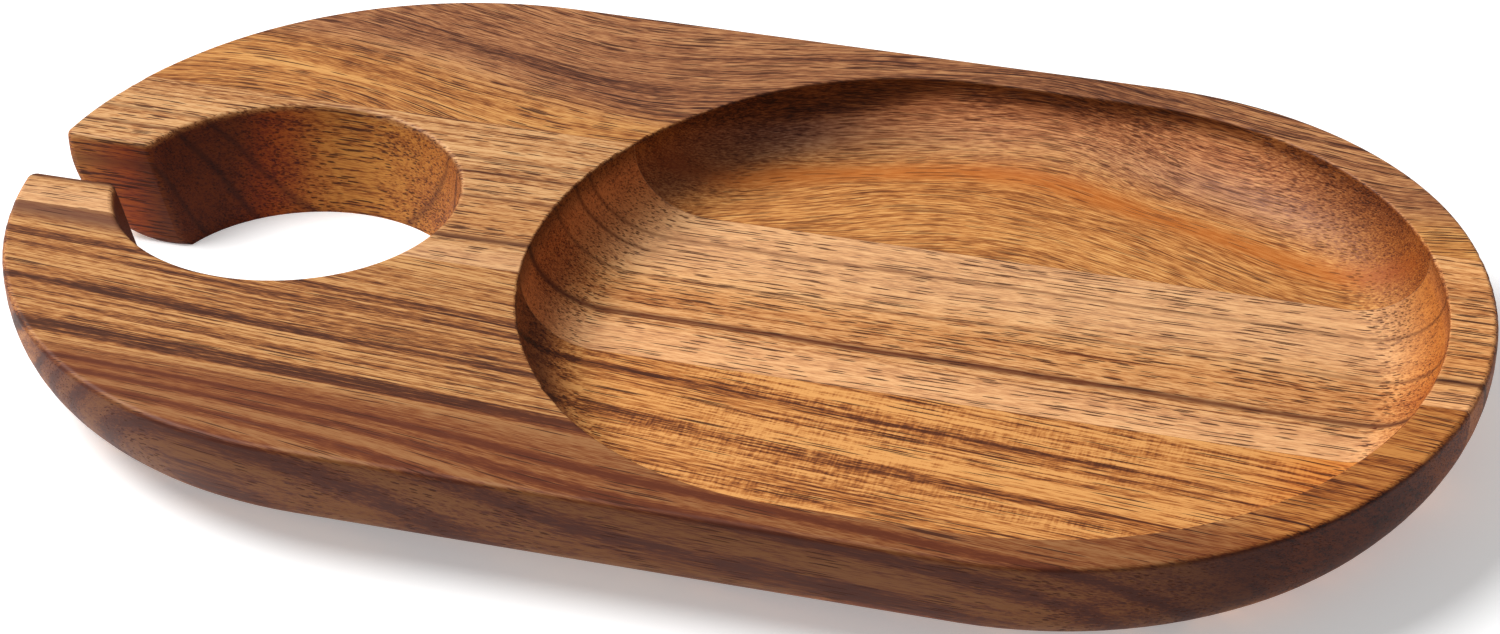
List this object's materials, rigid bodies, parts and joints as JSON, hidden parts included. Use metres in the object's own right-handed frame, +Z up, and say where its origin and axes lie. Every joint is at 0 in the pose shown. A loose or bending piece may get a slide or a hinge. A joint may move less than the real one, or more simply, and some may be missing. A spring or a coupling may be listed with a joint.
{
  "type": "chip and dip server",
  "caption": "Rounded oblong wooden party plate with a shallow coved dish at one end and a tapered, slotted hole at the other that holds a wine glass by its bowl.",
  "frame": {"origin": "middle of the underside", "axes": "+X along the board towards the dish end, +Y across it towards the back stave, +Z up, out of the dish"},
  "size_m": [0.2404, 0.1452, 0.019],
  "materials": {
    "back_stave_wood": "oiled acacia, medium brown, satin",
    "middle_stave_wood": "oiled acacia, light tan with short dark pores, satin",
    "front_stave_wood": "oiled acacia, golden brown with dark stripes, satin",
    "wood_glue": "cured wood glue, a hairline"
  },
  "bodies": {
    "root": {"back_stave": "back_stave_wood", "middle_stave": "middle_stave_wood", "middle_stave_tip": "middle_stave_wood", "front_stave": "front_stave_wood", "back_glue_line": "wood_glue", "front_glue_line": "wood_glue", "tip_glue_line": "wood_glue"}
  },
  "joints": []
}
